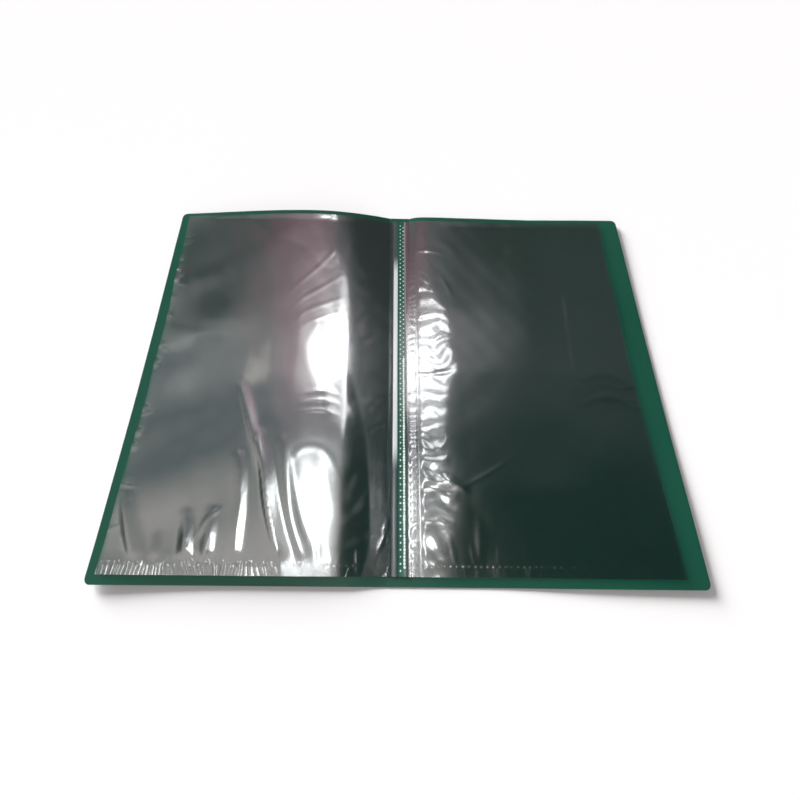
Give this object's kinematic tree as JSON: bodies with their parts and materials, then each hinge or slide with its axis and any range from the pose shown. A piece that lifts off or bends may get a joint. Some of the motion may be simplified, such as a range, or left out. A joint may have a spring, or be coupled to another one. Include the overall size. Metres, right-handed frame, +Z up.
{
  "type": "clear pocket display book",
  "caption": "Folio display book lying open: creased plastic cover sheet with clear film pockets welded to its spine; covers and pockets fold up to close.",
  "frame": {"origin": "on the table under the middle of the spine", "axes": "+X across the open book towards the back cover, +Y up the pages to the open mouths of the pockets, +Z up from the table"},
  "size_m": [0.492, 0.355, 0.0069],
  "materials": {
    "cover_sheet": "satin polypropylene sheet",
    "clear_film": "clear glossy film"
  },
  "bodies": {
    "spine": {"spine": "cover_sheet", "binding_strip": "clear_film"},
    "front_cover": {"front_cover": "cover_sheet"},
    "back_cover": {"back_cover": "cover_sheet"},
    "left_leaf_1": {"left_pocket_1_front_film": "clear_film", "left_pocket_1_weld": "clear_film", "left_pocket_1_rear_film": "clear_film"},
    "left_leaf_2": {"left_pocket_2_front_film": "clear_film", "left_pocket_2_weld": "clear_film", "left_pocket_2_rear_film": "clear_film"},
    "left_leaf_3": {"left_pocket_3_front_film": "clear_film", "left_pocket_3_weld": "clear_film", "left_pocket_3_rear_film": "clear_film"},
    "left_leaf_4": {"left_pocket_4_front_film": "clear_film", "left_pocket_4_weld": "clear_film", "left_pocket_4_rear_film": "clear_film"},
    "left_leaf_5": {"left_pocket_5_front_film": "clear_film", "left_pocket_5_weld": "clear_film", "left_pocket_5_rear_film": "clear_film"},
    "right_leaf_1": {"right_pocket_1_front_film": "clear_film", "right_pocket_1_weld": "clear_film", "right_pocket_1_rear_film": "clear_film"},
    "right_leaf_2": {"right_pocket_2_front_film": "clear_film", "right_pocket_2_weld": "clear_film", "right_pocket_2_rear_film": "clear_film"},
    "right_leaf_3": {"right_pocket_3_front_film": "clear_film", "right_pocket_3_weld": "clear_film", "right_pocket_3_rear_film": "clear_film"},
    "right_leaf_4": {"right_pocket_4_front_film": "clear_film", "right_pocket_4_weld": "clear_film", "right_pocket_4_rear_film": "clear_film"},
    "right_leaf_5": {"right_pocket_5_front_film": "clear_film", "right_pocket_5_weld": "clear_film", "right_pocket_5_rear_film": "clear_film"}
  },
  "joints": [
    {"name": "front_cover_hinge", "type": "hinge", "parent": "spine", "child": "front_cover", "pos_m": [-0.01145, 0, 0.00035], "axis": [0, 1, 0], "range_deg": [0, 90]},
    {"name": "left_leaf_1_fold", "type": "hinge", "parent": "spine", "child": "left_leaf_1", "pos_m": [-0.006, 0, 0.00183], "axis": [0, 1, 0], "range_deg": [0, 90]},
    {"name": "left_leaf_2_fold", "type": "hinge", "parent": "spine", "child": "left_leaf_2", "pos_m": [-0.00675, 0, 0.00158], "axis": [0, 1, 0], "range_deg": [0, 90]},
    {"name": "left_leaf_3_fold", "type": "hinge", "parent": "spine", "child": "left_leaf_3", "pos_m": [-0.0075, 0, 0.00133], "axis": [0, 1, 0], "range_deg": [0, 90]},
    {"name": "left_leaf_4_fold", "type": "hinge", "parent": "spine", "child": "left_leaf_4", "pos_m": [-0.00825, 0, 0.00108], "axis": [0, 1, 0], "range_deg": [0, 90]},
    {"name": "left_leaf_5_fold", "type": "hinge", "parent": "spine", "child": "left_leaf_5", "pos_m": [-0.009, 0, 0.00082], "axis": [0, 1, 0], "range_deg": [0, 90]},
    {"name": "back_cover_hinge", "type": "hinge", "parent": "spine", "child": "back_cover", "pos_m": [0.01145, 0, 0.00035], "axis": [0, -1, 0], "range_deg": [0, 90]},
    {"name": "right_leaf_1_fold", "type": "hinge", "parent": "spine", "child": "right_leaf_1", "pos_m": [0.006, 0, 0.00183], "axis": [0, -1, 0], "range_deg": [0, 90]},
    {"name": "right_leaf_2_fold", "type": "hinge", "parent": "spine", "child": "right_leaf_2", "pos_m": [0.00675, 0, 0.00158], "axis": [0, -1, 0], "range_deg": [0, 90]},
    {"name": "right_leaf_3_fold", "type": "hinge", "parent": "spine", "child": "right_leaf_3", "pos_m": [0.0075, 0, 0.00133], "axis": [0, -1, 0], "range_deg": [0, 90]},
    {"name": "right_leaf_4_fold", "type": "hinge", "parent": "spine", "child": "right_leaf_4", "pos_m": [0.00825, 0, 0.00108], "axis": [0, -1, 0], "range_deg": [0, 90]},
    {"name": "right_leaf_5_fold", "type": "hinge", "parent": "spine", "child": "right_leaf_5", "pos_m": [0.009, 0, 0.00082], "axis": [0, -1, 0], "range_deg": [0, 90]}
  ],
  "couplings": [
    {"joint": "left_leaf_1_fold", "follows": "front_cover_hinge", "ratio": 1},
    {"joint": "left_leaf_2_fold", "follows": "front_cover_hinge", "ratio": 1},
    {"joint": "left_leaf_3_fold", "follows": "front_cover_hinge", "ratio": 1},
    {"joint": "left_leaf_4_fold", "follows": "front_cover_hinge", "ratio": 1},
    {"joint": "left_leaf_5_fold", "follows": "front_cover_hinge", "ratio": 1},
    {"joint": "right_leaf_1_fold", "follows": "back_cover_hinge", "ratio": 1},
    {"joint": "right_leaf_2_fold", "follows": "back_cover_hinge", "ratio": 1},
    {"joint": "right_leaf_3_fold", "follows": "back_cover_hinge", "ratio": 1},
    {"joint": "right_leaf_4_fold", "follows": "back_cover_hinge", "ratio": 1},
    {"joint": "right_leaf_5_fold", "follows": "back_cover_hinge", "ratio": 1}
  ]
}
